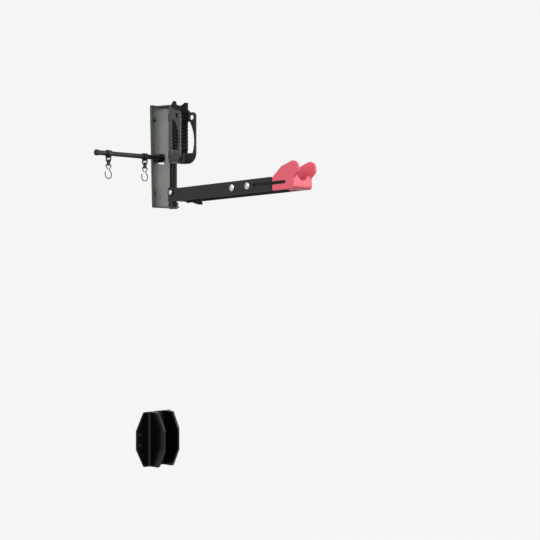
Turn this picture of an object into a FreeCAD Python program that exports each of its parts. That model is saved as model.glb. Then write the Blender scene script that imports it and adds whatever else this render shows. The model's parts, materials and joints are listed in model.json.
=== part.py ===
import FreeCAD, Part
import math
import os

# Swivel bike wall mount. +Z is up, the wall is the plane y = 0 and the mount reaches towards -Y.
# The origin is the middle of the wall bracket's back face. All sizes are in millimetres.

V = FreeCAD.Vector

# Fits
running = 0.05        # radial clearance of a turning or sliding round fit
seat = 0.02           # radial clearance of a fixed round fit
gap = 0.3             # face clearance between pieces that move past each other

# Wall bracket, folded from one sheet
plate_top_width = 129.0
plate_foot_width = 107.0
plate_height = 398.0
sheet = 4.0
flange_depth = 12.0
flange_relief = 8.0
flange_corner = 6.0
bend_inside = 3.0
tongue_root = 64.0     # width of the tongues at the flange
tongue_flare = 8.0
pivot_out = 65.0      # swivel axis from the wall
tongue_radius = 24.0
wall_hole = 9.0
wall_hole_dx = 86.0
wall_hole_margin = 58.0

# Swivel column
shaft_diameter = 14.0
shaft_head_diameter = 26.0
shaft_head_height = 4.5
shaft_socket = 10.0
shaft_socket_depth = 3.0
shaft_nut_flats = 30.0
shaft_nut_height = 5.0
thrust_height = 2.5
collar_diameter = 38.0
upper_collar_diameter = 27.0
tube_outside = 28.0
tube_wall = 2.5
lower_flange_height = 13.0
upper_flange_height = 6.5
bush_depth = 24.0

# Tyre cradle, a back plate with welded cheeks on the column
cradle_half_width = 42.2
cradle_sheet = 3.0
cradle_bend = 8.0
cradle_height = 221.0
cradle_headroom = 2.0  # below the top tongue
cradle_reach = 72.0    # from the web's back face to the front edges
cradle_chin = 42.0     # radius of the lower front corners
brow_run = 11.0        # flat top behind the sloping edge
brow_fall = 31.0       # length of the sloping edge, along the cheek
lug_drop = 22.5
lug_round = 18.0
lug_neck_round = 6.0
strap_hole = 19.0
strap_hole_back = 24.0
strap_hole_down = 42.0
window_back = 23.3     # straight side of the opening, from the web's back face
window_brim = 12.5     # straight top edge
window_depth = 37.5
window_foot = 8.0      # how far the bowed side falls back at the bottom
window_bulge = 48.0    # height of the bow above the bottom edge
window_round = 3.0
window_above = 41.0    # from the cradle's bottom edge
window_below = 57.5    # from its top edge

# Wheel that the cradle pad and the saddle are shaped to
wheel_radius = 376.0
tyre_section = 34.0
seat_drop = 6.3        # depth of the tyre's seat below the fold axis's line along the arm

# Tyre pad
pad_above = 53.0       # from the cradle's bottom edge
pad_thickness = 26.4
pad_core = 8.0         # rubber left behind the tyre
pad_crest_rise = 22.0
pad_crest_gap = 3.0    # clear of the tongue's round end
pad_side_gap = 0.3
pad_rib_pitch = 14.0
pad_groove = 4.0
pad_groove_depth = 5.0

# Column clamps
clamp_half_width = 27.0
clamp_height = 28.0
clamp_back = 19.0
clamp_shoulder = 9.0
clamp_screw_cover = 1.0
lower_clamp_rise = 33.0
upper_clamp_drop = 43.0
clamp_screw = 6.0
clamp_screw_head = 10.0
clamp_screw_spread = 20.0
clamp_screw_length = 22.0

# Fold knuckle
fold_out = 104.0
fold_rise = 56.0       # above the plate's bottom edge
knuckle_collar = 21.0
knuckle_below = 29.0
knuckle_above = 22.0
neck_half_width = 22.0
neck_drop = 14.0
barrel_radius = 17.0
fold_bolt_diameter = 12.0
fold_head_diameter = 19.0
fold_head_height = 6.0
fold_socket = 8.0
fold_socket_depth = 3.5
fold_nut_flats = 18.0
disc_radius = 15.5
disc_thickness = 2.0
washer_radius = 15.0
washer_thickness = 1.0
grub_diameter = 6.0
grub_above = 9.0
grub_below = 17.0

# Folding arm, described from its fold axis: reach along the arm, rise above the axis
arm_tilt = 2.1
arm_inside = 46.0
arm_sheet = 4.0
arm_back = -16.0
arm_length = 529.0
arm_top = 14.0
arm_bottom = -36.0
arm_line = -9.0        # height of the bolts and the slots
arm_slot_start = 436.0
arm_slot = 12.0
arm_heel_round = 3.0
arm_crown_round = 14.0
arm_end_round = 3.0
arm_small_hole = 8.0
arm_small_hole_reach = 276.0
web_start = 42.0
web_end = 82.0
web_top = 9.0
web_sheet = 4.0
stop_diameter = 10.0
stop_drop = 27.0
clamp_bolt_reach = (331.0, 409.0)
clamp_bolt_diameter = 10.0
clamp_bolt_head = 25.0
clamp_bolt_head_height = 8.0
clamp_socket = 8.0
clamp_socket_depth = 5.0
clamp_nut_flats = 17.0
clamp_nut_height = 7.6

# Lock lever under the arm
lever_pin_diameter = 8.0
lever_pin_reach = 40.0
lever_pin_rise = -24.0
lever_half_width = 13.0
lever_hub = 8.0
lever_root = 6.0
lever_tip = 2.0
lever_tip_reach = 112.0
lever_tip_rise = -52.0
lever_hook = 11.0
lever_nose = 12.0
spacer_radius = 6.5

# Sliding saddle at the arm's end
slide_travel = 90.0
bar_sheet = 3.0
bar_height = 34.0
bar_back_margin = 14.0
saddle_gap = 2.0
saddle_length = 102.0
ear_thickness = 8.0
ear_edge = 2.0         # rounding of the ears' outer edges
ear_step = 11.0        # height of the ears' back corner
ear_crown = 47.0
ear_crown_reach = 44.0
ear_crown_round = 20.0
ear_horn = 72.0        # where the edges at the ears' rounded horn would meet
ear_horn_round = 26.0
ear_bulge = 23.0       # how far the ears stand forward of the cross piece
ear_bulge_low = 4.0
ear_bulge_high = 24.0
saddle_brow = 11.0
saddle_front_round = 12.0
cross_length = 48.0
saddle_slot_end = 65.0
recess_end = 70.0
saddle_screw = 5.0
saddle_screw_head = 9.0
saddle_screw_head_height = 3.0
saddle_screw_grip = 5.0
saddle_screw_reach = 40.0
saddle_screw_spread = 22.0

# Accessory bar on a tab lanced out of the bracket
bar_diameter = 18.0
bar_out = 25.0
bar_level = -5.0
tab_left = 24.0
tab_height = 34.0
tab_out = 41.0
tab_relief_top = 0.5
tab_relief_foot = 5.0
tab_window = 34.0
tab_corner = 12.0
bar_length = 326.0
bar_flange_diameter = 26.0
bar_flange_length = 5.0
cap_root_diameter = 21.0
cap_diameter = 24.0
cap_length = 17.0
cap_depth = 13.0
bar_screw = 6.0
bar_screw_head = 14.0
bar_screw_head_height = 4.0
bar_screw_depth = 18.0

# Hooks that hang on the bar
hook_places = (-112.0, -292.0)
hook_collar_radius = 13.0
hook_collar_width = 18.0
eye_width = 29.0
eye_root_width = 23.0
eye_shoulder = 4.0     # solid part between collar and window
eye_thickness = 4.0
eye_drop = 12.0
eye_wall = 3.4
eye_boss = 12.0
swivel_stem = 6.0
swivel_head = 9.0
swivel_head_height = 2.5
swivel_barrel = 18.0
swivel_waist = 13.0
swivel_length = 17.0
swivel_hole_rise = 3.8
hook_wire = 3.6
loop_half_width = 17.0
loop_corner = 4.5
throat_drop = 18.0
throat_half_gap = 2.8
hook_radius = 14.0
hook_drop = 38.0
hook_tip_rise = 12.0

# Lower tyre rest, a moulded cup on the wall
rest_left = 30.0
rest_level = -1097.0
rest_height = 212.0
rest_end_height = 72.0
rest_half_width = 106.0
rest_cup_half_width = 41.5
rest_shoulder = 27.0   # full-height part of each wing
rest_wall_shoulder = 54.0
rest_depth = 90.0
rest_base = 6.0
rest_wall = 10.0
rest_bend = 10.0
rest_corner = 5.0
rest_hole = 7.0
rest_hole_dx = 178.0
rest_hole_dz = 40.0
rest_pad_thickness = 5.0
rest_pad_margin = 1.0
rest_pad_groove = 3.0
rest_pad_pitch = 16.0

# Heights and stand-offs that follow from the sizes above
top = plate_height / 2
tongue_under = top - sheet
bend_outside = bend_inside + sheet
wall_hole_dz = plate_height - 2 * wall_hole_margin
shaft_radius = shaft_diameter / 2
web_back = pivot_out + tube_outside / 2
web_front = web_back + cradle_sheet
cradle_top = tongue_under - cradle_headroom
cradle_bottom = cradle_top - cradle_height
cradle_front = web_back + cradle_reach
window_low = cradle_bottom + window_above
window_high = cradle_top - window_below
pad_low = cradle_bottom + pad_above
pad_front = web_front + pad_thickness
clamp_levels = (cradle_bottom + lower_clamp_rise, cradle_top - upper_clamp_drop)
fold_height = -top + fold_rise
knuckle_low = fold_height - knuckle_below
knuckle_high = fold_height + knuckle_above
grub_levels = (fold_height + grub_above, fold_height - grub_below)
lower_flange_low = -tongue_under + thrust_height + gap
tube_low = lower_flange_low + lower_flange_height
upper_flange_high = tongue_under - gap
tube_high = upper_flange_high - upper_flange_height
arm_outside = arm_inside + arm_sheet
barrel_half = arm_inside - gap - washer_thickness
bar_face = arm_inside - gap
bar_back = clamp_bolt_reach[0] - slide_travel - bar_back_margin
saddle_start = arm_length + saddle_gap
saddle_front = saddle_start + saddle_length
tab_right = tab_left - sheet

# The wheel touches the pad at its own axle's height and sits on the saddle
wheel_out = web_front + pad_core + wheel_radius
seat_out = fold_out + saddle_front * math.cos(math.radians(arm_tilt))
seat_height = fold_height + saddle_front * math.sin(math.radians(arm_tilt)) - seat_drop
wheel_height = seat_height + math.sqrt(wheel_radius ** 2 - (seat_out - wheel_out) ** 2)


def side(low):
    return lambda u, v: V(low, u, v), V(1, 0, 0)


def front(low):
    return lambda u, v: V(u, low, v), V(0, 1, 0)


def plan(low):
    return lambda u, v: V(u, v, low), V(0, 0, 1)


def rounded_wire(corners, lift):
    """Closed outline through corners (u, v, radius), each corner rounded by a tangent arc."""
    edges = []
    ends = []
    count = len(corners)
    for i, (u, v, radius) in enumerate(corners):
        point = V(u, v, 0)
        before = (V(*corners[i - 1][:2], 0) - point).normalize()
        after = (V(*corners[(i + 1) % count][:2], 0) - point).normalize()
        if radius == 0:
            ends.append((point, point, point))
            continue
        half = before.getAngle(after) / 2
        middle = (before + after).normalize()
        reach = radius / math.tan(half)
        nearest = point + middle * (radius / math.sin(half) - radius)
        ends.append((point + before * reach, nearest, point + after * reach))
    for i, (start, nearest, end) in enumerate(ends):
        if start != end:
            edges.append(Part.Arc(*(lift(p.x, p.y) for p in (start, nearest, end))).toShape())
        following = ends[(i + 1) % count][0]
        if (following - end).Length > 1e-6:
            edges.append(Part.LineSegment(lift(end.x, end.y), lift(following.x, following.y)).toShape())
    return Part.Wire(edges)


def prism(corners, plane, low, high):
    lift, normal = plane(low)
    return Part.Face(rounded_wire(corners, lift)).extrude(normal * (high - low))


def block(x, y, z):
    return Part.makeBox(x[1] - x[0], y[1] - y[0], z[1] - z[0], V(x[0], y[0], z[0]))


def rod(radius, start, end):
    start, end = V(*start), V(*end)
    return Part.makeCylinder(radius, (end - start).Length, start, end - start)


def ring(outside, inside, start, end):
    return rod(outside, start, end).cut(rod(inside, start, end))


def turned(shape, point, direction):
    """Puts a shape made along +Z at a point, along a direction."""
    shape.Placement = FreeCAD.Placement(V(*point), FreeCAD.Rotation(V(0, 0, 1), V(*direction)))
    return shape


def dome(radius, height, rim, point, direction):
    """Domed bolt head with a straight rim."""
    rise = height - rim
    ball = (radius ** 2 + rise ** 2) / (2 * rise)
    sag = ball - math.sqrt(ball ** 2 - (radius / 2) ** 2)
    edges = [
        Part.LineSegment(V(0, 0, 0), V(radius, 0, 0)).toShape(),
        Part.LineSegment(V(radius, 0, 0), V(radius, 0, rim)).toShape(),
        Part.Arc(V(radius, 0, rim), V(radius / 2, 0, height - sag), V(0, 0, height)).toShape(),
        Part.LineSegment(V(0, 0, height), V(0, 0, 0)).toShape(),
    ]
    solid = Part.Face(Part.Wire(edges)).revolve(V(0, 0, 0), V(0, 0, 1), 360)
    return turned(solid, point, direction)


def hexagon(flats, height, point, direction):
    corner = flats / math.sqrt(3)
    points = [V(corner * math.cos(k * math.pi / 3), corner * math.sin(k * math.pi / 3), 0) for k in range(6)]
    solid = Part.Face(Part.makePolygon(points + points[:1])).extrude(V(0, 0, height))
    return turned(solid, point, direction)


def on_arm(shape):
    """Moves a shape from the arm's own frame, with the fold axis at its origin, to its place."""
    shape.rotate(V(0, 0, 0), V(1, 0, 0), -arm_tilt)
    shape.translate(V(0, -fold_out, fold_height))
    return shape


def joined(first, *others):
    return first.fuse(list(others)).removeSplitter()


def tyre_form():
    return Part.makeTorus(wheel_radius - tyre_section, tyre_section, V(0, -wheel_out, wheel_height),
                          V(1, 0, 0))


def make_wall_bracket():
    reach = pivot_out + tongue_radius + 1
    half_top, half_foot = plate_top_width / 2, plate_foot_width / 2
    channel = prism([
        (-reach, top, 0), (0, top, bend_outside), (0, -top, bend_outside), (-reach, -top, 0),
        (-reach, -tongue_under, 0), (-sheet, -tongue_under, bend_inside),
        (-sheet, tongue_under, bend_inside), (-reach, tongue_under, 0),
    ], side, -half_top, half_top)
    trapezoid = prism([(-half_foot, -top, 0), (half_foot, -top, 0), (half_top, top, 0), (-half_top, top, 0)],
                      front, -reach, 0)
    # flanges above and below, each with a tongue that tapers to a round end about the swivel axis
    corner = V(tongue_root / 2, -flange_depth - tongue_flare, 0)
    line = V(0, -pivot_out, 0) - corner
    turn = math.asin(tongue_radius / line.Length)
    run = math.sqrt(line.Length ** 2 - tongue_radius ** 2)
    heading = math.atan2(line.y, line.x) + turn
    touch = corner + V(math.cos(heading), math.sin(heading), 0) * run
    edge = prism([(-half_top, 0, 0), (half_top, 0, 0), (half_top, -flange_depth, flange_corner),
                  (-half_top, -flange_depth, flange_corner)], plan, -top, top)
    flare = tongue_root / 2 + tongue_flare
    half = [(flare, 0, 0), (flare, -flange_depth, 0), (corner.x, corner.y, 0), (touch.x, touch.y, 0)]
    tongue = prism(half + [(-u, v, radius) for u, v, radius in reversed(half)], plan, -top, top)
    tip = rod(tongue_radius, (0, -pivot_out, -top), (0, -pivot_out, top))
    bracket = channel.common(trapezoid).common(joined(edge, tongue, tip))
    # side flanges along the slanted edges
    end = top - flange_relief
    lean = (half_top - half_foot) / plate_height
    middle = (half_top + half_foot) / 2
    strip = prism([(0, -end, 0), (0, end, 0), (-flange_depth, end, flange_corner),
                   (-flange_depth, -end, flange_corner)], side, -half_top, half_top)
    low, high = middle - lean * end, middle + lean * end
    for hand in (-1, 1):
        edge = prism([(hand * low, -end, 0), (hand * high, end, 0), (hand * (high - sheet), end, 0),
                      (hand * (low - sheet), -end, 0)], front, -flange_depth, 0)
        bracket = bracket.fuse(edge.common(strip))
    # tab for the accessory bar, with the window that it was bent out of
    tab_low, tab_high = bar_level - tab_height / 2, bar_level + tab_height / 2
    window = block((-tab_left, tab_window - tab_left), (-2 * sheet, sheet),
                   (tab_low - tab_relief_foot, tab_high + tab_relief_top))
    tab = prism([
        (0, tab_low, 0), (0, tab_high, 0), (-tab_out, tab_high, tab_corner), (-tab_out, tab_low, tab_corner),
    ], side, -tab_left, -tab_right)
    bracket = joined(bracket.cut(window), tab)
    holes = [rod(wall_hole / 2, (x, -2 * sheet, z), (x, sheet, z))
             for x in (-wall_hole_dx / 2, wall_hole_dx / 2) for z in (-wall_hole_dz / 2, wall_hole_dz / 2)]
    holes.append(rod(shaft_radius + seat, (0, -pivot_out, -top - sheet), (0, -pivot_out, top + sheet)))
    holes.append(rod(bar_screw / 2 + seat, (-tab_left - sheet, -bar_out, bar_level),
                     (0, -bar_out, bar_level)))
    return bracket.cut(holes)


def make_column():
    axis = (0, -pivot_out)
    foot = -top - shaft_nut_height
    shaft = joined(rod(shaft_radius, (*axis, foot), (*axis, top)),
                   dome(shaft_head_diameter / 2, shaft_head_height, 1.5, (*axis, top), (0, 0, 1)))
    floor = top + shaft_head_height - shaft_socket_depth
    shaft = shaft.cut(hexagon(shaft_socket, shaft_head_height, (*axis, floor), (0, 0, 1)))
    nut = hexagon(shaft_nut_flats, shaft_nut_height, (*axis, foot), (0, 0, 1))
    nut = nut.cut(rod(shaft_radius + seat, (*axis, foot), (*axis, -top)))
    thrust = ring(collar_diameter / 2, shaft_radius + seat, (*axis, -tongue_under),
                  (*axis, -tongue_under + thrust_height))
    bore = tube_outside / 2 - tube_wall
    tube = ring(tube_outside / 2, bore, (*axis, tube_low), (*axis, tube_high))
    lower = joined(rod(collar_diameter / 2, (*axis, lower_flange_low), (*axis, tube_low)),
                   rod(bore - seat, (*axis, tube_low), (*axis, tube_low + bush_depth)))
    upper = joined(rod(upper_collar_diameter / 2, (*axis, tube_high), (*axis, upper_flange_high)),
                   rod(bore - seat, (*axis, tube_high - bush_depth), (*axis, tube_high)))
    way = rod(shaft_radius + running, (*axis, -top), (*axis, top))
    return {
        "pivot_shaft": shaft, "shaft_nut": nut, "thrust_washer": thrust, "column_tube": tube,
        "lower_bush": lower.cut(way), "upper_bush": upper.cut(way),
    }


def clamp_screw_places():
    return [(x, z) for z in clamp_levels for x in (-clamp_screw_spread, clamp_screw_spread)]


def screw_cone(x, z):
    return turned(Part.makeCone(clamp_screw_head / 2, clamp_screw / 2, cradle_sheet, V(0, 0, 0), V(0, 0, 1)),
                  (x, -web_front, z), (0, 1, 0))


def make_cradle():
    """Back plate and the two cheeks that are welded along its edges."""
    inside = cradle_half_width - cradle_sheet
    channel = prism([
        (-cradle_half_width, -cradle_front, 0), (-cradle_half_width, -web_back, cradle_bend),
        (cradle_half_width, -web_back, cradle_bend), (cradle_half_width, -cradle_front, 0),
        (inside, -cradle_front, 0), (inside, -web_front, cradle_bend - cradle_sheet),
        (-inside, -web_front, cradle_bend - cradle_sheet), (-inside, -cradle_front, 0),
    ], plan, cradle_bottom, cradle_top)
    past = cradle_half_width + 1
    neck, lug = -web_back - brow_run - brow_fall, cradle_top - lug_drop
    outline = prism([
        (-web_back + 1, cradle_bottom, 0), (-cradle_front, cradle_bottom, cradle_chin),
        (-cradle_front, lug, lug_round), (neck, lug, lug_neck_round),
        (-web_back - brow_run, cradle_top, 2), (-web_back + 1, cradle_top, 0),
    ], side, -past, past)
    # opening with a straight back, a short top edge and a bowed front
    back = -web_back - window_back
    heel, head = V(-past, back, window_low), V(-past, back, window_high)
    brim = V(-past, back - window_brim, window_high)
    bow = V(-past, back - window_depth, window_low + window_bulge)
    foot = V(-past, back - window_depth + window_foot, window_low)
    ways = [Part.LineSegment(foot, heel), Part.LineSegment(heel, head), Part.LineSegment(head, brim),
            Part.Arc(brim, bow, foot)]
    window = Part.Face(Part.Wire([way.toShape() for way in ways])).extrude(V(2 * past, 0, 0))
    along = [edge for edge in window.Edges if abs(edge.tangentAt(edge.FirstParameter).x) > 0.99]
    window = window.makeFillet(window_round, along)
    strap = (-cradle_front + strap_hole_back, cradle_top - strap_hole_down)
    cuts = [window, rod(strap_hole / 2, (-past, *strap), (past, *strap))]
    for x, z in clamp_screw_places():
        cuts += [screw_cone(x, z), rod(clamp_screw / 2, (x, -web_front, z), (x, -web_back + 1, z))]
    whole = channel.common(outline).cut(cuts)
    depth, height = (-cradle_front - 1, -web_back + 1), (cradle_bottom - 1, cradle_top + 1)
    zones = [block((-past, -inside), depth, height), block((inside, past), depth, height)]
    return [whole.cut(zones)] + [whole.common(zone) for zone in zones]


def make_tyre_pad():
    half = cradle_half_width - cradle_sheet - pad_side_gap
    corner = cradle_bend - cradle_sheet
    flat = cradle_top - cradle_headroom
    crest = flat + pad_crest_rise
    pad = prism([
        (-half, -pad_front, 2), (-half, -web_front, corner),
        (half, -web_front, corner), (half, -pad_front, 2),
    ], plan, pad_low, crest)
    # flat under the tongue, then rising to a crest ahead of it
    outline = prism([
        (-web_front, pad_low, 0), (-web_front, flat, 0),
        (-pivot_out - tongue_radius - pad_crest_gap, flat, 0), (-pad_front, crest, 2),
        (-pad_front, pad_low, 4),
    ], side, -half, half)
    grooves = []
    level = pad_low + pad_rib_pitch
    while level < cradle_top - pad_rib_pitch:
        grooves.append(block((-half - 1, half + 1),
                             (-pad_front - 1, -web_front - pad_groove_depth),
                             (level - pad_groove / 2, level + pad_groove / 2)))
        level += pad_rib_pitch
    return pad.common(outline).cut(tyre_form()).cut(grooves)


def make_clamps():
    clamps = []
    for level in clamp_levels:
        low, high = level - clamp_height / 2, level + clamp_height / 2
        foot = prism([
            (-clamp_half_width, -web_back, 2), (clamp_half_width, -web_back, 2),
            (clamp_half_width, -web_front + clamp_screw_length + clamp_screw_cover, clamp_shoulder),
            (-clamp_half_width, -web_front + clamp_screw_length + clamp_screw_cover, clamp_shoulder),
        ], plan, low, high)
        grip = rod(clamp_back, (0, -pivot_out, low), (0, -pivot_out, high))
        behind = block((-clamp_half_width, clamp_half_width), (-web_back, 0), (low, high))
        body = joined(foot, grip.common(behind))
        cuts = [rod(tube_outside / 2 + seat, (0, -pivot_out, low), (0, -pivot_out, high))]
        for x in (-clamp_screw_spread, clamp_screw_spread):
            cuts.append(rod(clamp_screw / 2, (x, -web_front, level),
                            (x, -web_front + clamp_screw_length, level)))
        clamps.append(body.cut(cuts))
    screws = [joined(screw_cone(x, z), rod(clamp_screw / 2 - seat, (x, -web_front, z),
                                          (x, -web_front + clamp_screw_length, z)))
              for x, z in clamp_screw_places()]
    return {"lower_clamp": clamps[0], "upper_clamp": clamps[1], "clamp_screws": Part.makeCompound(screws)}


def make_knuckle():
    axis = (0, -pivot_out)
    collar = rod(knuckle_collar, (*axis, knuckle_low), (*axis, knuckle_high))
    neck = block((-neck_half_width, neck_half_width), (-fold_out, -pivot_out),
                 (fold_height - neck_drop, fold_height + barrel_radius))
    line = (-fold_out, fold_height)
    barrel = rod(barrel_radius, (-barrel_half, *line), (barrel_half, *line))
    cuts = [
        rod(tube_outside / 2 + seat, (*axis, knuckle_low), (*axis, knuckle_high)),
        rod(fold_bolt_diameter / 2 + seat, (-barrel_half, *line), (barrel_half, *line)),
    ]
    grubs = []
    for level in grub_levels:
        span = (0, -pivot_out + tube_outside / 2 + seat, level), (0, -pivot_out + knuckle_collar + 1, level)
        cuts.append(rod(grub_diameter / 2, *span))
        grubs.append(rod(grub_diameter / 2 - seat, *span))
    face = arm_outside + gap + disc_thickness
    foot = face + fold_head_height
    hole = fold_bolt_diameter / 2 + seat
    head = dome(fold_head_diameter / 2, fold_head_height, 2, (-face, *line), (-1, 0, 0))
    socket = hexagon(fold_socket, fold_head_height, (-foot + fold_socket_depth, *line), (-1, 0, 0))
    bolt = joined(rod(fold_bolt_diameter / 2, (-face, *line), (foot, *line)), head).cut(socket)
    nut = hexagon(fold_nut_flats, fold_head_height, (face, *line), (1, 0, 0))
    nut = nut.cut(rod(hole, (face, *line), (foot, *line)))
    discs = [ring(disc_radius, hole, (hand * (arm_outside + gap), *line), (hand * face, *line))
             for hand in (-1, 1)]
    washers = [ring(washer_radius, hole, (hand * barrel_half, *line),
                    (hand * (barrel_half + washer_thickness), *line)) for hand in (-1, 1)]
    return {
        "arm_knuckle": joined(collar, neck, barrel).cut(cuts), "knuckle_screws": Part.makeCompound(grubs),
        "fold_bolt": bolt, "fold_nut": nut, "fold_washers": Part.makeCompound(washers),
        "fold_discs": Part.makeCompound(discs),
    }


def slot_along_arm(start, end, width, low, high):
    """Round-ended slot in the arm's frame, from reach start to reach end on the line of the bolts."""
    half = width / 2
    body = block((low, high), (-end, -start), (arm_line - half, arm_line + half))
    return joined(body, *[rod(half, (low, -reach, arm_line), (high, -reach, arm_line))
                          for reach in (start, end)])


def make_arm_plate(hand):
    low, high = sorted((hand * arm_inside, hand * arm_outside))
    blank = prism([
        (-arm_back, arm_bottom, arm_heel_round), (-arm_length, arm_bottom, arm_end_round),
        (-arm_length, arm_top, arm_end_round), (-arm_back, arm_top, arm_crown_round),
    ], side, low, high)
    cuts = [
        rod(fold_bolt_diameter / 2 + running, (low, 0, 0), (high, 0, 0)),
        slot_along_arm(arm_slot_start + arm_slot / 2, arm_length + arm_slot, arm_slot, low, high),
        rod(arm_small_hole / 2, (low, -arm_small_hole_reach, arm_line),
            (high, -arm_small_hole_reach, arm_line)),
        rod(lever_pin_diameter / 2 + seat, (low, -lever_pin_reach, lever_pin_rise),
            (high, -lever_pin_reach, lever_pin_rise)),
    ]
    cuts += [rod(clamp_bolt_diameter / 2 + seat, (low, -reach, arm_line), (high, -reach, arm_line))
             for reach in clamp_bolt_reach]
    return on_arm(blank.cut(cuts))


def make_arm_fittings():
    web = block((-arm_inside, arm_inside), (-web_end, -web_start), (web_top - web_sheet, web_top))
    stop_reach = pivot_out + knuckle_collar + gap + stop_diameter / 2 - fold_out
    stop = rod(stop_diameter / 2, (-arm_inside, -stop_reach, -stop_drop),
               (arm_inside, -stop_reach, -stop_drop))
    pin = rod(lever_pin_diameter / 2, (-arm_outside, -lever_pin_reach, lever_pin_rise),
              (arm_outside, -lever_pin_reach, lever_pin_rise))
    spacers = [ring(spacer_radius, lever_pin_diameter / 2 + seat,
                    (hand * (lever_half_width + gap), -lever_pin_reach, lever_pin_rise),
                    (hand * arm_inside, -lever_pin_reach, lever_pin_rise)) for hand in (-1, 1)]
    bolts, nuts = [], []
    inner = bar_face - bar_sheet - gap
    for hand in (-1, 1):
        for reach in clamp_bolt_reach:
            head = dome(clamp_bolt_head / 2, clamp_bolt_head_height, 3,
                        (hand * arm_outside, -reach, arm_line), (hand, 0, 0))
            shank = rod(clamp_bolt_diameter / 2, (hand * (inner - clamp_nut_height), -reach, arm_line),
                        (hand * arm_outside, -reach, arm_line))
            crown = arm_outside + clamp_bolt_head_height
            socket = hexagon(clamp_socket, clamp_bolt_head_height,
                             (hand * (crown - clamp_socket_depth), -reach, arm_line), (hand, 0, 0))
            bolts.append(joined(shank, head).cut(socket))
            nut = hexagon(clamp_nut_flats, clamp_nut_height, (hand * inner, -reach, arm_line), (-hand, 0, 0))
            nuts.append(nut.cut(rod(clamp_bolt_diameter / 2 + seat, (hand * inner, -reach, arm_line),
                                    (hand * (inner - clamp_nut_height), -reach, arm_line))))
    return {
        "arm_web": on_arm(web), "stop_bar": on_arm(stop), "lever_pin": on_arm(pin),
        "lever_spacers": on_arm(Part.makeCompound(spacers)), "clamp_bolts": on_arm(Part.makeCompound(bolts)),
        "clamp_nuts": on_arm(Part.makeCompound(nuts)),
    }


def make_lock_lever():
    pin = V(-lever_pin_reach, lever_pin_rise, 0)
    tip = V(-lever_tip_reach, lever_tip_rise, 0)
    along = (tip - pin).normalize()
    across = V(-along.y, along.x, 0)
    hooked = tip - along * lever_hook - across * lever_hook
    paddle = prism([(p.x, p.y, radius) for p, radius in (
        (pin + across * lever_root, 0), (tip + across * lever_tip, 1),
        (hooked, 2), (pin - across * lever_root, 0),
    )], side, -lever_half_width, lever_half_width)
    centre = (pin.x, pin.y)
    hub = rod(lever_hub, (-lever_half_width, *centre), (lever_half_width, *centre))
    towards = (V(0, 0, 0) - pin).normalize()
    nose_end = pin + towards * (pin.Length - barrel_radius - 1)
    nose_side = V(-towards.y, towards.x, 0) * (lever_hub * 0.6)
    nose = prism([(p.x, p.y, radius) for p, radius in (
        (pin + nose_side, 0), (pin - nose_side, 0), (nose_end - nose_side, 2), (nose_end + nose_side, 2),
    )], side, -lever_nose, lever_nose)
    bore = rod(lever_pin_diameter / 2 + running, (-lever_half_width, *centre), (lever_half_width, *centre))
    return on_arm(joined(hub, paddle, nose).cut(bore))


def make_slide_bar(hand):
    low, high = sorted((hand * (bar_face - bar_sheet), hand * bar_face))
    end = saddle_start + recess_end
    blank = prism([
        (-bar_back, arm_line - bar_height / 2, 6), (-end, arm_line - bar_height / 2, 0),
        (-end, arm_line + bar_height / 2, 0), (-bar_back, arm_line + bar_height / 2, 6),
    ], side, low, high)
    room = clamp_bolt_diameter / 2 + gap
    slot = slot_along_arm(clamp_bolt_reach[0] - slide_travel, clamp_bolt_reach[1], 2 * room, low, high)
    holes = [rod(saddle_screw / 2 + seat, (low, y, z), (high, y, z)) for y, z in saddle_screw_places()]
    return on_arm(blank.cut([slot] + holes))


def saddle_screw_places():
    y = -saddle_start - saddle_screw_reach
    return [(y, arm_line - saddle_screw_spread / 2), (y, arm_line + saddle_screw_spread / 2)]


def make_saddle():
    start, end = -saddle_start, -saddle_front
    inside = arm_outside - ear_thickness
    ears = []
    for hand in (-1, 1):
        low, high = sorted((hand * inside, hand * arm_outside))
        ear = prism([
            (start, arm_bottom, 3), (end, arm_bottom, saddle_front_round), (end, ear_bulge_low, 8),
            (end - ear_bulge, ear_bulge_high, 12), (end - ear_bulge, ear_horn, ear_horn_round),
            (start - ear_crown_reach, ear_crown, ear_crown_round), (start, ear_step, 4),
        ], side, low, high)
        rim = [edge for edge in ear.Edges if edge.BoundBox.XLength < 0.1
               and abs(edge.CenterOfMass.x - hand * arm_outside) < 0.1]
        ears.append(ear.makeFillet(ear_edge, rim))
    cross = prism([
        (end + cross_length, arm_bottom, 3), (end, arm_bottom, saddle_front_round), (end, saddle_brow, 3),
        (end + cross_length, saddle_brow, 0),
    ], side, -inside, inside)
    cuts = []
    for hand in (-1, 1):
        low, high = sorted((hand * (inside - 1), hand * bar_face))
        cuts.append(block((low, high), (start - recess_end, start),
                          (arm_line - bar_height / 2, arm_line + bar_height / 2)))
        low, high = sorted((hand * bar_face, hand * (arm_outside + 1)))
        cuts.append(slot_along_arm(saddle_start - arm_slot, saddle_start + saddle_slot_end - arm_slot / 2,
                                   arm_slot, low, high))
        depth = hand * (bar_face + saddle_screw_grip - bar_sheet)
        cuts += [rod(saddle_screw / 2, (hand * bar_face, y, z), (depth, y, z))
                 for y, z in saddle_screw_places()]
    return on_arm(joined(ears[0], ears[1], cross).cut(cuts)).cut(tyre_form())


def make_saddle_screws():
    screws = []
    face = bar_face - bar_sheet
    for hand in (-1, 1):
        for y, z in saddle_screw_places():
            head = dome(saddle_screw_head / 2, saddle_screw_head_height, 1, (hand * face, y, z),
                        (-hand, 0, 0))
            screws.append(joined(rod(saddle_screw / 2 - seat, (hand * face, y, z),
                                     (hand * (face + saddle_screw_grip), y, z)), head))
    return on_arm(Part.makeCompound(screws))


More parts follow.
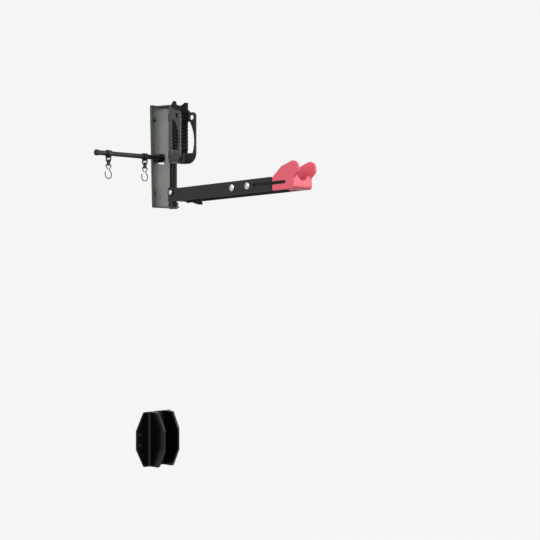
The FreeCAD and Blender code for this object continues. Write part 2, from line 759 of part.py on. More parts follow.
def make_accessory_bar():
    root, tip = -tab_left, -tab_left - bar_length
    line = (-bar_out, bar_level)
    bar = joined(rod(bar_diameter / 2, (root, *line), (tip, *line)),
                 rod(bar_flange_diameter / 2, (root, *line), (root - bar_flange_length, *line)))
    bar = bar.cut(rod(bar_screw / 2, (root, *line), (root - bar_screw_depth, *line)))
    cap = turned(Part.makeCone(cap_root_diameter / 2, cap_diameter / 2, cap_length),
                 (tip + cap_depth, *line), (-1, 0, 0))
    rim = [edge for edge in cap.Edges if edge.BoundBox.XMax < tip + cap_depth - cap_length + 0.1]
    cap = cap.makeFillet(3, rim).cut(rod(bar_diameter / 2 + seat, (tip + cap_depth, *line), (tip, *line)))
    screw = joined(rod(bar_screw / 2 - seat, (-tab_right, *line), (root - bar_screw_depth, *line)),
                   dome(bar_screw_head / 2, bar_screw_head_height, 1.5, (-tab_right, *line), (1, 0, 0)))
    return {"accessory_bar": bar, "bar_end_cap": cap, "bar_screw": screw}


def bent_wire(points, diameter):
    """Round wire through points (x, z, bend radius) in the plane y = 0."""
    edges = []
    last = V(points[0][0], 0, points[0][1])
    for i in range(1, len(points) - 1):
        point = V(points[i][0], 0, points[i][1])
        before = (V(points[i - 1][0], 0, points[i - 1][1]) - point).normalize()
        after = (V(points[i + 1][0], 0, points[i + 1][1]) - point).normalize()
        half = before.getAngle(after) / 2
        radius = points[i][2]
        reach = radius / math.tan(half)
        nearest = point + (before + after).normalize() * (radius / math.sin(half) - radius)
        edges.append(Part.LineSegment(last, point + before * reach).toShape())
        edges.append(Part.Arc(point + before * reach, nearest, point + after * reach).toShape())
        last = point + after * reach
    edges.append(Part.LineSegment(last, V(points[-1][0], 0, points[-1][1])).toShape())
    path = Part.Wire(edges)
    start = V(points[0][0], 0, points[0][1])
    heading = edges[0].tangentAt(edges[0].FirstParameter)
    section = Part.Wire(Part.makeCircle(diameter / 2, start, heading))
    return path.makePipeShell([section], True, False)


def make_hook():
    """One hook about the bar's axis at the origin: collar, swivel and wire."""
    half = hook_collar_width / 2
    eye_low = -hook_collar_radius - eye_drop
    bridge = eye_low - eye_wall
    ring_part = rod(hook_collar_radius, (-half, 0, 0), (half, 0, 0))
    thin = eye_thickness / 2
    loop = prism([
        (-eye_root_width / 2, 0, 0), (eye_root_width / 2, 0, 0), (eye_width / 2, -hook_collar_radius, 3),
        (eye_width / 2, bridge, 5), (-eye_width / 2, bridge, 5), (-eye_width / 2, -hook_collar_radius, 3),
    ], side, -thin, thin)
    boss = rod(eye_boss / 2, (0, 0, bridge), (0, 0, eye_low))
    inner = eye_width / 2 - eye_wall
    window_high = -hook_collar_radius - eye_shoulder
    window = prism([
        (-inner, window_high, 2), (inner, window_high, 2), (inner, eye_low, 2), (-inner, eye_low, 2),
    ], side, -half, half)
    collar = joined(ring_part, loop, boss).cut([
        rod(bar_diameter / 2 + running, (-half, 0, 0), (half, 0, 0)), window,
        rod(swivel_stem / 2 + running, (0, 0, eye_low), (0, 0, bridge)),
    ])
    barrel_top = bridge - gap
    barrel_low = barrel_top - swivel_length
    wide, waist = swivel_barrel / 2, swivel_waist / 2
    profile = Part.Wire([
        Part.LineSegment(V(0, 0, barrel_low), V(wide, 0, barrel_low)).toShape(),
        Part.Arc(V(wide, 0, barrel_low), V(waist, 0, (barrel_low + barrel_top) / 2),
                 V(wide, 0, barrel_top)).toShape(),
        Part.LineSegment(V(wide, 0, barrel_top), V(0, 0, barrel_top)).toShape(),
        Part.LineSegment(V(0, 0, barrel_top), V(0, 0, barrel_low)).toShape(),
    ])
    barrel = Part.Face(profile).revolve(V(0, 0, 0), V(0, 0, 1), 360)
    stem = rod(swivel_stem / 2, (0, 0, barrel_top), (0, 0, eye_low + gap))
    head = rod(swivel_head / 2, (0, 0, eye_low + gap), (0, 0, eye_low + gap + swivel_head_height))
    level = barrel_low + swivel_hole_rise
    hole = rod(hook_wire / 2 + seat, (-swivel_barrel, 0, level), (swivel_barrel, 0, level))
    swivel = joined(barrel, stem, head).cut(hole)
    throat = level - throat_drop
    bottom = level - hook_drop - hook_radius
    wire = bent_wire([
        (-throat_half_gap, throat, 0), (-loop_half_width, level, loop_corner),
        (loop_half_width, level, loop_corner),
        (throat_half_gap, throat, 6), (hook_radius, throat - hook_radius, 6),
        (hook_radius, bottom, hook_radius * 0.99), (-hook_radius, bottom, hook_radius * 0.99),
        (-hook_radius - 2, bottom + hook_radius + hook_tip_rise, 0),
    ], hook_wire)
    return {"collar": collar, "swivel": swivel, "wire": wire}


def make_hooks():
    hooks = {}
    for name, x in zip(("inner", "outer"), hook_places):
        for piece, shape in make_hook().items():
            shape.translate(V(x, -bar_out, bar_level))
            hooks[f"{name}_hook_{piece}"] = shape
    return hooks


def make_rest():
    chamfer = rest_half_width - rest_cup_half_width - rest_shoulder
    half_tall, half_end = rest_height / 2, rest_end_height / 2
    outer, inner, nose = rest_cup_half_width, rest_cup_half_width - rest_wall, rest_wall / 2 - 0.2
    half = [(inner, -rest_base, rest_pad_margin), (inner, -rest_depth, nose), (outer, -rest_depth, nose),
            (outer, -rest_base, rest_bend), (rest_half_width, -rest_base, 1), (rest_half_width, 0, 0)]
    bent = prism(half + [(-u, v, radius) for u, v, radius in reversed(half)], plan, -half_tall, half_tall)
    quarter = [(rest_half_width, half_end, rest_corner), (rest_half_width - chamfer, half_tall, rest_corner)]
    above = quarter + [(-u, v, radius) for u, v, radius in reversed(quarter)]
    wings = prism(above + [(u, -v, radius) for u, v, radius in reversed(above)], front, -rest_depth, 0)
    walls = prism([
        (0, half_tall, 0), (-rest_wall_shoulder, half_tall, rest_corner),
        (-rest_depth, half_end, rest_corner), (-rest_depth, -half_end, rest_corner),
        (-rest_wall_shoulder, -half_tall, rest_corner),
        (0, -half_tall, 0),
    ], side, -rest_half_width, rest_half_width)
    cup = bent.common(wings).common(walls)
    holes = [rod(rest_hole / 2, (x, -rest_depth, z), (x, 1, z))
             for x in (-rest_hole_dx / 2, rest_hole_dx / 2) for z in (-rest_hole_dz / 2, rest_hole_dz / 2)]
    cup = cup.cut(holes)
    inside = rest_cup_half_width - rest_wall - rest_pad_margin
    pad = block((-inside, inside), (-rest_base - rest_pad_thickness, -rest_base),
                (-half_tall + rest_corner, half_tall - rest_corner))
    grooves = []
    level = -half_tall + rest_pad_pitch
    while level < half_tall - rest_pad_pitch / 2:
        grooves.append(block((-inside, inside),
                             (-rest_base - rest_pad_thickness, -rest_base - rest_pad_thickness / 2),
                             (level - rest_pad_groove / 2, level + rest_pad_groove / 2)))
        level += rest_pad_pitch
    pieces = {"rest_cup": cup, "rest_pad": pad.cut(grooves)}
    for shape in pieces.values():
        shape.translate(V(-rest_left, 0, rest_level))
    return pieces


pieces = {"wall_bracket": make_wall_bracket(), "tyre_pad": make_tyre_pad()}
pieces["cradle_back"], pieces["left_cheek"], pieces["right_cheek"] = make_cradle()
pieces.update(make_column())
pieces.update(make_clamps())
pieces.update(make_knuckle())
pieces.update({"left_arm_plate": make_arm_plate(-1), "right_arm_plate": make_arm_plate(1)})
pieces.update(make_arm_fittings())
pieces["lock_lever"] = make_lock_lever()
pieces.update({"left_slide_bar": make_slide_bar(-1), "right_slide_bar": make_slide_bar(1)})
pieces.update({"saddle": make_saddle(), "saddle_screws": make_saddle_screws()})
pieces.update(make_accessory_bar())
pieces.update(make_hooks())
pieces.update(make_rest())

os.makedirs("parts", exist_ok=True)
for name, shape in pieces.items():
    shape.exportStep(f"parts/{name}.step")
    print(name, len(shape.Solids), shape.isValid(), round(shape.Volume))
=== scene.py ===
import bpy
import json
import math
from mathutils import Matrix, Vector


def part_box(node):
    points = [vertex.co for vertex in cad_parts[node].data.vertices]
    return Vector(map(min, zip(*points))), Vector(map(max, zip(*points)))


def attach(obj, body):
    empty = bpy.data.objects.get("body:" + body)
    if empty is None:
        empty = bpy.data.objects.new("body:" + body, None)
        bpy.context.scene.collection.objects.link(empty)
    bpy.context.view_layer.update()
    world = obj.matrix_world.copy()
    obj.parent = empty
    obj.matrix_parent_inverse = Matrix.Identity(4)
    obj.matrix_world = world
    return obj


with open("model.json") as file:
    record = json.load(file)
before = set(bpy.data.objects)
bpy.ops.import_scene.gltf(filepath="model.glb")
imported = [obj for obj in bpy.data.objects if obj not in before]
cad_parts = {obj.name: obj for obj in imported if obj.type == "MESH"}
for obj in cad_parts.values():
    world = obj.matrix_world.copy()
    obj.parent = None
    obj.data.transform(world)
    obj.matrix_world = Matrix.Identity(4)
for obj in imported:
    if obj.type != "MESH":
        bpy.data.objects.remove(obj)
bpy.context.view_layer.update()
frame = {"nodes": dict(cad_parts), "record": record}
scene = bpy.context.scene
print("frame loaded:", len(frame["nodes"]), "nodes")


def toLinear(red, green, blue):
    channels = []
    for value in (red, green, blue):
        share = value / 255
        channels.append(share / 12.92 if share <= 0.04045 else ((share + 0.055) / 1.055) ** 2.4)
    return (*channels, 1.0)


# node groups that the finishes share

edgeWear = {"radius": 0.0012, "amount": 0.5, "samples": 4, "turn": (0.995, 0.80),
            "patchScale": 60.0, "patchDetail": 4.0, "patchRange": (0.35, 0.7)}
coatGrain = {"scale": 900.0, "drift": 0.15, "fineDetail": 3.0, "broadScale": 14.0, "broadDetail": 5.0,
             "roughFrom": (0.3, 0.7), "roughTo": (0.92, 1.08)}
mouldGrain = {"scale": 1400.0, "drift": 0.1, "fineScale": 2600.0, "fineDetail": 2.0,
              "broadScale": 20.0, "broadDetail": 4.0}
brushedLines = {"stretch": (1.0, 1.0, 1.0), "scale": 1.0, "detail": 3.0, "roughness": 0.7,
                "toneFrom": (0.25, 0.75), "toneTo": (0.86, 1.1)}
restingDust = {"amount": 0.15, "colour": toLinear(150, 148, 142), "upward": (0.5, 1.0),
               "patchScale": 35.0, "patchDetail": 6.0, "patchRange": (0.35, 0.75)}
noiseRoughness = 0.55
noiseMiddle = 0.5


def newGroup(name, inputs, outputs):
    group = bpy.data.node_groups.new(name, "ShaderNodeTree")
    for label, kind, start in inputs:
        socket = group.interface.new_socket(label, in_out="INPUT", socket_type=kind)
        socket.default_value = start
    for label, kind in outputs:
        group.interface.new_socket(label, in_out="OUTPUT", socket_type=kind)
    return group, group.nodes.new("NodeGroupInput"), group.nodes.new("NodeGroupOutput")


def feed(tree, value, socket):
    # a number is set on the socket, another node's output is linked to it
    if isinstance(value, (int, float)):
        socket.default_value = value
    else:
        tree.links.new(value, socket)


def addMath(tree, operation, first, second, clamp=False):
    node = tree.nodes.new("ShaderNodeMath")
    node.operation = operation
    node.use_clamp = clamp
    feed(tree, first, node.inputs[0])
    feed(tree, second, node.inputs[1])
    return node.outputs[0]


def addNoise(tree, vector, scale, detail, roughness=noiseRoughness):
    noise = tree.nodes.new("ShaderNodeTexNoise")
    noise.inputs["Detail"].default_value = detail
    noise.inputs["Roughness"].default_value = roughness
    tree.links.new(vector, noise.inputs["Vector"])
    feed(tree, scale, noise.inputs["Scale"])
    return noise.outputs["Fac"]


def addRange(tree, value, source, target=(0.0, 1.0)):
    node = tree.nodes.new("ShaderNodeMapRange")
    tree.links.new(value, node.inputs["Value"])
    for label, number in zip(("From Min", "From Max", "To Min", "To Max"), (*source, *target)):
        node.inputs[label].default_value = number
    return node.outputs["Result"]


def objectPlace(tree):
    return tree.nodes.new("ShaderNodeTexCoord").outputs["Object"]


def addPatches(tree, strength, spec, amount):
    # breaks an even mask up into patches
    noise = addNoise(tree, objectPlace(tree), spec["patchScale"], spec["patchDetail"])
    patchy = addMath(tree, "MULTIPLY", strength, addRange(tree, noise, spec["patchRange"]))
    return addMath(tree, "MULTIPLY", patchy, amount, clamp=True)


def addDrift(tree, broad, drift):
    # a tone that wanders around 1
    swing = addMath(tree, "MULTIPLY", addMath(tree, "SUBTRACT", broad, noiseMiddle), drift)
    return addMath(tree, "ADD", swing, 1.0)


def makeEdgeWear():
    # bright rub marks where a face turns over an edge, and the edge's softened normal
    group, given, out = newGroup(
        "edgeWear",
        [("Radius", "NodeSocketFloat", edgeWear["radius"]), ("Amount", "NodeSocketFloat", edgeWear["amount"])],
        [("Mask", "NodeSocketFloat"), ("Normal", "NodeSocketVector")])
    bevel = group.nodes.new("ShaderNodeBevel")
    bevel.samples = edgeWear["samples"]
    group.links.new(given.outputs["Radius"], bevel.inputs["Radius"])
    facing = group.nodes.new("ShaderNodeNewGeometry")
    dot = group.nodes.new("ShaderNodeVectorMath")
    dot.operation = "DOT_PRODUCT"
    group.links.new(bevel.outputs["Normal"], out.inputs["Normal"])
    group.links.new(bevel.outputs["Normal"], dot.inputs[0])
    group.links.new(facing.outputs["Normal"], dot.inputs[1])
    turn = addRange(group, dot.outputs["Value"], edgeWear["turn"])
    group.links.new(addPatches(group, turn, edgeWear, given.outputs["Amount"]), out.inputs["Mask"])
    return group


def makeCoatGrain():
    # orange peel of a powder coat, with slow drift in tone
    group, given, out = newGroup(
        "coatGrain",
        [("Scale", "NodeSocketFloat", coatGrain["scale"]), ("Drift", "NodeSocketFloat", coatGrain["drift"])],
        [("Height", "NodeSocketFloat"), ("Tone", "NodeSocketFloat"), ("Rough", "NodeSocketFloat")])
    place = objectPlace(group)
    fine = addNoise(group, place, given.outputs["Scale"], coatGrain["fineDetail"])
    broad = addNoise(group, place, coatGrain["broadScale"], coatGrain["broadDetail"])
    rough = addRange(group, broad, coatGrain["roughFrom"], coatGrain["roughTo"])
    group.links.new(fine, out.inputs["Height"])
    group.links.new(addDrift(group, broad, given.outputs["Drift"]), out.inputs["Tone"])
    group.links.new(rough, out.inputs["Rough"])
    return group


def makeMouldGrain():
    # spark texture of a moulded plastic or rubber
    group, given, out = newGroup(
        "mouldGrain",
        [("Scale", "NodeSocketFloat", mouldGrain["scale"]), ("Drift", "NodeSocketFloat", mouldGrain["drift"])],
        [("Height", "NodeSocketFloat"), ("Tone", "NodeSocketFloat")])
    place = objectPlace(group)
    cells = group.nodes.new("ShaderNodeTexVoronoi")
    group.links.new(place, cells.inputs["Vector"])
    group.links.new(given.outputs["Scale"], cells.inputs["Scale"])
    fine = addNoise(group, place, mouldGrain["fineScale"], mouldGrain["fineDetail"])
    broad = addNoise(group, place, mouldGrain["broadScale"], mouldGrain["broadDetail"])
    group.links.new(addMath(group, "ADD", cells.outputs["Distance"], fine), out.inputs["Height"])
    group.links.new(addDrift(group, broad, given.outputs["Drift"]), out.inputs["Tone"])
    return group


def makeBrushed():
    # fine drawn lines of plated steel, along one axis set by Stretch
    group, given, out = newGroup(
        "brushedLines",
        [("Stretch", "NodeSocketVector", brushedLines["stretch"]),
         ("Scale", "NodeSocketFloat", brushedLines["scale"])],
        [("Height", "NodeSocketFloat"), ("Tone", "NodeSocketFloat")])
    scaled = group.nodes.new("ShaderNodeVectorMath")
    scaled.operation = "MULTIPLY"
    group.links.new(objectPlace(group), scaled.inputs[0])
    group.links.new(given.outputs["Stretch"], scaled.inputs[1])
    lines = addNoise(group, scaled.outputs["Vector"], given.outputs["Scale"], brushedLines["detail"],
                     brushedLines["roughness"])
    tone = addRange(group, lines, brushedLines["toneFrom"], brushedLines["toneTo"])
    group.links.new(lines, out.inputs["Height"])
    group.links.new(tone, out.inputs["Tone"])
    return group


def makeDust():
    # dust on what faces up
    group, given, out = newGroup(
        "restingDust", [("Amount", "NodeSocketFloat", restingDust["amount"])], [("Mask", "NodeSocketFloat")])
    facing = group.nodes.new("ShaderNodeNewGeometry")
    parts = group.nodes.new("ShaderNodeSeparateXYZ")
    group.links.new(facing.outputs["Normal"], parts.inputs[0])
    upward = addRange(group, parts.outputs["Z"], restingDust["upward"])
    group.links.new(addPatches(group, upward, restingDust, given.outputs["Amount"]), out.inputs["Mask"])
    return group


groups = {"edge": makeEdgeWear(), "coat": makeCoatGrain(), "mould": makeMouldGrain(),
          "brushed": makeBrushed(), "dust": makeDust()}
print("node groups:", len(groups))


# finishes

coats = {
    "bracket_grey": {"colour": toLinear(54, 64, 51), "rub": toLinear(140, 142, 138),
                     "grain": 700.0, "drift": 0.12, "edge": 0.0012, "wear": 0.35, "dust": 0.08,
                     "rough": 0.42, "specular": 0.5, "bump": 0.25},
    "dark_grey": {"colour": toLinear(54, 56, 54), "rub": toLinear(130, 130, 128),
                  "grain": 700.0, "drift": 0.2, "edge": 0.001, "wear": 0.45, "dust": 0.1,
                  "rough": 0.4, "specular": 0.5, "bump": 0.25},
    "arm_grey": {"colour": toLinear(27, 28, 29), "rub": toLinear(120, 120, 120),
                 "grain": 700.0, "drift": 0.2, "edge": 0.001, "wear": 0.3, "dust": 0.08,
                 "rough": 0.45, "specular": 0.3, "bump": 0.25},
    "black_steel": {"colour": toLinear(11, 11, 12), "rub": toLinear(110, 108, 105),
                    "grain": 800.0, "drift": 0.25, "edge": 0.0009, "wear": 0.25, "dust": 0.06,
                    "rough": 0.36, "specular": 0.24, "bump": 0.22},
    "column_black": {"colour": toLinear(26, 26, 23), "rub": toLinear(100, 98, 95),
                     "grain": 800.0, "drift": 0.25, "edge": 0.0009, "wear": 0.25, "dust": 0.05,
                     "rough": 0.4, "specular": 0.11, "bump": 0.22},
    "hook_steel": {"colour": toLinear(14, 14, 15), "rub": toLinear(120, 118, 114),
                   "grain": 900.0, "drift": 0.2, "edge": 0.0005, "wear": 0.25, "dust": 0.05,
                   "rough": 0.3, "specular": 0.35, "bump": 0.15},
}
plastics = {
    "black_plastic": {"colour": toLinear(18, 18, 19), "rub": toLinear(70, 70, 70),
                      "grain": 1500.0, "drift": 0.15, "edge": 0.0008, "wear": 0.25, "dust": 0.06,
                      "rough": 0.46, "specular": 0.3, "coat": 0.0, "bump": 0.25},
    "rubber": {"colour": toLinear(9, 9, 9), "rub": toLinear(60, 60, 58),
               "grain": 900.0, "drift": 0.3, "edge": 0.001, "wear": 0.3, "dust": 0.06,
               "rough": 0.8, "specular": 0.2, "coat": 0.0, "bump": 0.5},
    "red_plastic": {"colour": toLinear(233, 105, 121), "rub": toLinear(246, 172, 182),
                    "grain": 1200.0, "drift": 0.08, "edge": 0.0012, "wear": 0.25, "dust": 0.05,
                    "rough": 0.4, "specular": 0.14, "coat": 0.0, "bump": 0.12},
    "black_gloss": {"colour": toLinear(6, 6, 7), "rub": toLinear(52, 52, 52),
                    "grain": 500.0, "drift": 0.2, "edge": 0.0015, "wear": 0.25, "dust": 0.05,
                    "rough": 0.22, "specular": 0.26, "coat": 0.02, "bump": 0.06},
}
platings = {
    "steel": {"colour": toLinear(178, 180, 182), "stretch": (40.0, 900.0, 900.0), "scale": 1.0,
              "rough": 0.34, "bump": 0.2},
    "bright_steel": {"colour": toLinear(204, 205, 207), "stretch": (60.0, 60.0, 60.0), "scale": 1.0,
                     "rough": 0.2, "bump": 0.03},
}
ownFinish = {"column_tube": "column_black"}   # duller than the other black steel
bumpDepth = {"grain": 0.0002, "lines": 0.00005}
coatRoughness = 0.12
mixSockets = {"mask": 0, "under": 6, "over": 7, "result": 2}   # a Mix node's sockets for colours


def placeGroup(tree, key, values):
    node = tree.nodes.new("ShaderNodeGroup")
    node.node_tree = groups[key]
    for label, value in values.items():
        node.inputs[label].default_value = value
    return node


def mixColour(tree, mask, under, over):
    node = tree.nodes.new("ShaderNodeMix")
    node.data_type = "RGBA"
    tree.links.new(mask, node.inputs[mixSockets["mask"]])
    tree.links.new(under, node.inputs[mixSockets["under"]])
    node.inputs[mixSockets["over"]].default_value = over
    return node.outputs[mixSockets["result"]]


def tonedColour(tree, colour, tone):
    node = tree.nodes.new("ShaderNodeVectorMath")
    node.operation = "SCALE"
    node.inputs[0].default_value = colour[:3]
    tree.links.new(tone, node.inputs["Scale"])
    return node.outputs["Vector"]


def newFinish(name):
    material = bpy.data.materials.new(name)
    material.use_nodes = True
    tree = material.node_tree
    return material, tree, tree.nodes["Principled BSDF"]


def addBump(tree, shader, height, strength, distance, softened=None):
    bump = tree.nodes.new("ShaderNodeBump")
    bump.inputs["Strength"].default_value = strength
    bump.inputs["Distance"].default_value = distance
    tree.links.new(height, bump.inputs["Height"])
    if softened is not None:
        tree.links.new(softened, bump.inputs["Normal"])
    tree.links.new(bump.outputs["Normal"], shader.inputs["Normal"])


def addSurface(tree, shader, spec, grainKey):
    # grain, rubbed edges and dust, which coats and plastics have in common
    grain = placeGroup(tree, grainKey, {"Scale": spec["grain"], "Drift": spec["drift"]})
    wear = placeGroup(tree, "edge", {"Radius": spec["edge"], "Amount": spec["wear"]})
    dust = placeGroup(tree, "dust", {"Amount": spec["dust"]})
    base = tonedColour(tree, spec["colour"], grain.outputs["Tone"])
    worn = mixColour(tree, wear.outputs["Mask"], base, spec["rub"])
    dusty = mixColour(tree, dust.outputs["Mask"], worn, restingDust["colour"])
    tree.links.new(dusty, shader.inputs["Base Color"])
    shader.inputs["Specular IOR Level"].default_value = spec["specular"]
    addBump(tree, shader, grain.outputs["Height"], spec["bump"], bumpDepth["grain"], wear.outputs["Normal"])
    return grain


def coatedSteel(name, spec):
    material, tree, shader = newFinish(name)
    grain = addSurface(tree, shader, spec, "coat")
    rough = addMath(tree, "MULTIPLY", grain.outputs["Rough"], spec["rough"])
    tree.links.new(rough, shader.inputs["Roughness"])
    return material


def mouldedPlastic(name, spec):
    material, tree, shader = newFinish(name)
    addSurface(tree, shader, spec, "mould")
    shader.inputs["Roughness"].default_value = spec["rough"]
    shader.inputs["Coat Weight"].default_value = spec["coat"]
    shader.inputs["Coat Roughness"].default_value = coatRoughness
    return material


def platedSteel(name, spec):
    material, tree, shader = newFinish(name)
    lines = placeGroup(tree, "brushed", {"Stretch": spec["stretch"], "Scale": spec["scale"]})
    colour = tonedColour(tree, spec["colour"], lines.outputs["Tone"])
    rough = addMath(tree, "MULTIPLY", lines.outputs["Tone"], spec["rough"])
    tree.links.new(colour, shader.inputs["Base Color"])
    tree.links.new(rough, shader.inputs["Roughness"])
    shader.inputs["Metallic"].default_value = 1.0
    addBump(tree, shader, lines.outputs["Height"], spec["bump"], bumpDepth["lines"])
    return material


finishes = {}
for makeFinish, specs in ((coatedSteel, coats), (mouldedPlastic, plastics), (platedSteel, platings)):
    for slotName, spec in specs.items():
        finishes[slotName] = makeFinish(slotName, spec)
slotOf = {entry["node"]: entry["material_slot"] for entry in frame["record"]["subparts"]}
for node, obj in frame["nodes"].items():
    obj.data.materials.clear()
    obj.data.materials.append(finishes[ownFinish.get(node, slotOf[node])])
print("finishes:", len(finishes))


# small fasteners

screwForm = {"slot": "black_steel", "head": 0.0062, "headSides": 32, "roundSteps": 3, "socket": 0.0026,
             "socketDepth": 0.6, "shankSides": 20, "smoothAngle": 35.0, "turnStep": 17.0}
wallScrew = {**screwForm, "mount": "wall_bolts", "carrier": "wall_bracket", "thick": 0.004,
             "headHeight": 0.0026, "round": 0.0014, "shank": 0.0038}
restScrew = {**screwForm, "mount": "rest_bolts", "carrier": "rest_cup", "thick": 0.006,
             "headHeight": 0.0036, "round": 0.0016, "shank": 0.003}
topFace = {"slack": 1e-5, "upward": 0.99}   # how a screw's flat top is told from its rim
mmPerMetre = 1000


def deselectAll():
    bpy.ops.object.select_all(action="DESELECT")


def applyPlace(obj):
    deselectAll()
    obj.select_set(True)
    bpy.context.view_layer.objects.active = obj
    bpy.ops.object.transform_apply(location=True, rotation=True, scale=True)


def addRod(sides, radius, height, base):
    # upright rod that stands on z = base
    deselectAll()
    bpy.ops.mesh.primitive_cylinder_add(vertices=sides, radius=radius, depth=height,
                                        location=(0, 0, base + height / 2))
    rod = bpy.context.object
    applyPlace(rod)
    return rod


def pickTop(obj, level):
    # selects the flat top, and leaves the rod in edit mode
    bpy.ops.object.mode_set(mode="EDIT")
    bpy.ops.mesh.select_mode(type="FACE")
    bpy.ops.mesh.select_all(action="DESELECT")
    bpy.ops.object.mode_set(mode="OBJECT")
    for face in obj.data.polygons:
        face.select = face.normal.z > topFace["upward"] and face.center.z > level - topFace["slack"]
    bpy.ops.object.mode_set(mode="EDIT")


def shapeHead(head, spec):
    # rounds the top rim and sinks a socket in the top
    height = spec["headHeight"]
    pickTop(head, height)
    bpy.ops.mesh.bevel(offset=spec["round"], segments=spec["roundSteps"], affect="EDGES")
    pickTop(head, height)
    bpy.ops.mesh.inset(thickness=spec["head"] - spec["round"] - spec["socket"])
    sunk = (0, 0, -height * spec["socketDepth"])
    bpy.ops.mesh.extrude_region_move(TRANSFORM_OT_translate={"value": sunk})
    bpy.ops.object.mode_set(mode="OBJECT")


def joinPieces(pieces):
    deselectAll()
    for piece in pieces:
        piece.select_set(True)
    bpy.context.view_layer.objects.active = pieces[0]
    bpy.ops.object.join()
    return pieces[0]


def makeScrew(spec):
    # modelled upright: the carrier's face is z = 0
    head = addRod(spec["headSides"], spec["head"], spec["headHeight"], 0.0)
    shapeHead(head, spec)
    shank = addRod(spec["shankSides"], spec["shank"], spec["thick"], -spec["thick"])
    screw = joinPieces([head, shank])
    bpy.ops.object.shade_smooth_by_angle(angle=math.radians(spec["smoothAngle"]))
    return screw


def placeScrews(name, spec):
    screw = makeScrew(spec)
    mount = next(entry for entry in frame["record"]["mounts"] if entry["name"] == spec["mount"])
    width = mount["dims"]["spacing_x_mm"] / mmPerMetre
    height = mount["dims"]["spacing_y_mm"] / mmPerMetre
    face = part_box(spec["carrier"])[1][1] - spec["thick"]
    outwards = Matrix.Rotation(math.radians(90), 4, "X")
    count = 0
    for across in (-0.5, 0.5):
        for up in (-0.5, 0.5):
            count += 1
            piece = screw.copy()
            piece.data = screw.data.copy()
            piece.name = f"{name}{count}"
            scene.collection.objects.link(piece)
            place = Vector((mount["pos_m"][0] + across * width, face, mount["pos_m"][2] + up * height))
            turn = Matrix.Rotation(math.radians(spec["turnStep"] * count), 4, "Z")   # no two alike
            piece.data.transform(Matrix.Translation(place) @ outwards @ turn)
            piece.data.materials.append(finishes[spec["slot"]])
            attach(piece, "wall")
    bpy.data.objects.remove(screw)


placeScrews("wallScrew", wallScrew)
placeScrews("restScrew", restScrew)
print("screws placed")


# studio

studio = {"floorLevel": -1.32, "floorSize": 40.0, "floorColour": (0.1, 0.1, 0.1, 1.0), "floorRough": 0.9,
          "floorGlow": 0.9, "worldColour": (1.0, 1.0, 1.0, 1.0), "worldLight": 0.38,
          "backdrop": (0.912, 0.912, 0.912, 1.0), "backdropLight": 1.0}
lamps = {
    "keyLamp": {"place": (-1.4, -4.4, 2.6), "aim": (0.0, -0.3, -0.2), "size": 2.4, "power": 70.0},
    "fillLamp": {"place": (-4.2, -1.2, 1.4), "aim": (0.0, -0.2, -0.2), "size": 3.0, "power": 114.0},
    "topLamp": {"place": (0.2, -1.6, 3.4), "aim": (0.0, -0.3, 0.0), "size": 2.4, "power": 70.0},
    "windowLamp": {"place": (3.4, -3.9, 0.4), "aim": (0.0, -0.2, -0.1), "size": 3.2, "power": 150.0},
}
photoCamera = {"place": (-3.299, -3.655, -0.441), "tilt": 90.0, "turn": -47.0, "lens": 83.33, "sensor": 36.0,
               "reach": 100.0}


def aimAt(obj, place, target):
    obj.location = place
    obj.rotation_euler = (Vector(target) - Vector(place)).to_track_quat("-Z", "Y").to_euler()


def addSeen(tree, kinds):
    # 1 for the rays that show the background, 0 for those that light the part
    rays = tree.nodes.new("ShaderNodeLightPath")
    seen = rays.outputs[kinds[0]]
    for kind in kinds[1:]:
        seen = addMath(tree, "MAXIMUM", seen, rays.outputs[kind])
    return seen


def mixShaders(tree, share, under, over, end):
    mixed = tree.nodes.new("ShaderNodeMixShader")
    tree.links.new(share, mixed.inputs[0])
    tree.links.new(under.outputs[0], mixed.inputs[1])
    tree.links.new(over.outputs[0], mixed.inputs[2])
    tree.links.new(mixed.outputs[0], end.inputs["Surface"])


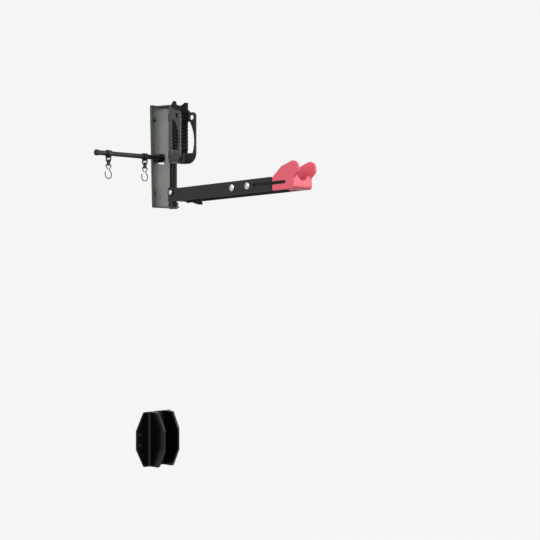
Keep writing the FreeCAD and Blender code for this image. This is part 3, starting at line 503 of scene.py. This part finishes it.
def makeFloor():
    deselectAll()
    bpy.ops.mesh.primitive_plane_add(size=studio["floorSize"], location=(0, 0, studio["floorLevel"]))
    floor = bpy.context.object
    floor.name = "studioFloor"
    material, tree, shader = newFinish("studioFloor")
    shader.inputs["Base Color"].default_value = studio["floorColour"]
    shader.inputs["Roughness"].default_value = studio["floorRough"]
    glow = tree.nodes.new("ShaderNodeEmission")
    glow.inputs["Strength"].default_value = studio["backdropLight"]
    seen = addSeen(tree, ("Is Camera Ray", "Is Glossy Ray"))
    share = addMath(tree, "MULTIPLY", seen, studio["floorGlow"])
    mixShaders(tree, share, shader, glow, tree.nodes["Material Output"])
    floor.data.materials.append(material)


def makeWorld():
    world = bpy.data.worlds.new("studioWorld")
    scene.world = world
    world.use_nodes = True
    tree = world.node_tree
    light = tree.nodes["Background"]
    light.inputs["Color"].default_value = studio["worldColour"]
    light.inputs["Strength"].default_value = studio["worldLight"]
    backdrop = tree.nodes.new("ShaderNodeBackground")
    backdrop.inputs["Color"].default_value = studio["backdrop"]
    backdrop.inputs["Strength"].default_value = studio["backdropLight"]
    seen = addSeen(tree, ("Is Camera Ray", "Is Glossy Ray", "Is Transmission Ray"))
    mixShaders(tree, seen, light, backdrop, tree.nodes["World Output"])


def makeLamps():
    for name, spec in lamps.items():
        data = bpy.data.lights.new(name, "AREA")
        data.shape = "DISK"
        data.size = spec["size"]
        data.energy = spec["power"]
        lamp = bpy.data.objects.new(name, data)
        scene.collection.objects.link(lamp)
        aimAt(lamp, spec["place"], spec["aim"])


def makeCamera():
    data = bpy.data.cameras.new("photoCamera")
    data.lens = photoCamera["lens"]
    data.sensor_width = photoCamera["sensor"]
    data.clip_end = photoCamera["reach"]
    camera = bpy.data.objects.new("photoCamera", data)
    camera.location = photoCamera["place"]
    camera.rotation_euler = (math.radians(photoCamera["tilt"]), 0.0, math.radians(photoCamera["turn"]))
    scene.collection.objects.link(camera)
    scene.camera = camera


makeFloor()
makeWorld()
makeLamps()
makeCamera()
scene.view_settings.view_transform = "Standard"
print("studio ready")
